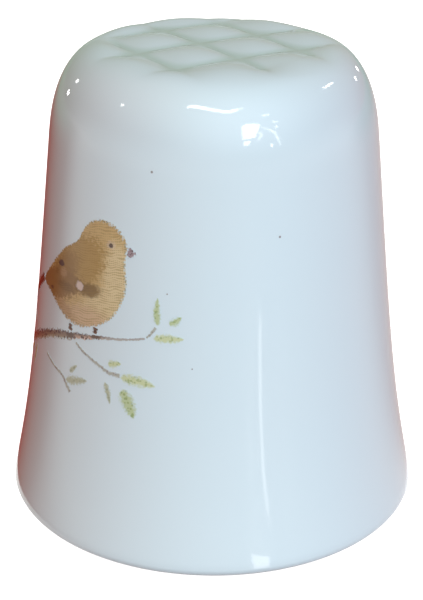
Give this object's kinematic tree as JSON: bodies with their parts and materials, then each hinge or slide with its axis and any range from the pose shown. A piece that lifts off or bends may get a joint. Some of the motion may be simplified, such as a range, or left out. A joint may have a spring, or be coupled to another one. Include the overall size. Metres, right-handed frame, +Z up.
{
  "type": "porcelain thimble",
  "caption": "Glazed porcelain thimble with a flared rim, a waffle-dimpled crown and an enamel print of a bird on a leafy branch.",
  "frame": {"origin": "centre of the foot ring, on the surface the thimble stands on", "axes": "+Z up through the crown, -Y towards the viewer who faces the printed bird, +X to that viewer's right"},
  "size_m": [0.0236, 0.0236, 0.0263],
  "materials": {
    "glazed_porcelain": "glossy clear glaze over white porcelain, bare matte foot ring",
    "tan_enamel": "overglaze printed enamel, golden tan, fine dot screen",
    "dark_enamel": "overglaze printed enamel, dark brown",
    "brown_enamel": "overglaze printed enamel, bark brown, fine dot screen",
    "leaf_green_enamel": "overglaze printed enamel, yellow green, fine dot screen",
    "olive_enamel": "overglaze printed enamel, grey olive, fine dot screen"
  },
  "bodies": {
    "root": {"porcelain_body": "glazed_porcelain", "beak_print": "dark_enamel", "bird_print": "tan_enamel", "branch_print": "brown_enamel", "leaf_print_01": "leaf_green_enamel", "leaf_print_02": "leaf_green_enamel", "leaf_print_03": "leaf_green_enamel", "leaf_print_04": "leaf_green_enamel", "leaf_print_05": "leaf_green_enamel", "leaf_print_06": "olive_enamel", "leaf_print_07": "leaf_green_enamel", "leaf_print_08": "olive_enamel", "leaf_print_09": "olive_enamel", "leaf_print_10": "leaf_green_enamel", "leaf_print_11": "leaf_green_enamel", "leaf_print_12": "olive_enamel", "left_foot_print": "dark_enamel", "left_twig_print": "brown_enamel", "right_foot_print": "dark_enamel", "right_twig_print": "brown_enamel", "tail_print": "dark_enamel", "tip_twig_print": "brown_enamel"}
  },
  "joints": []
}
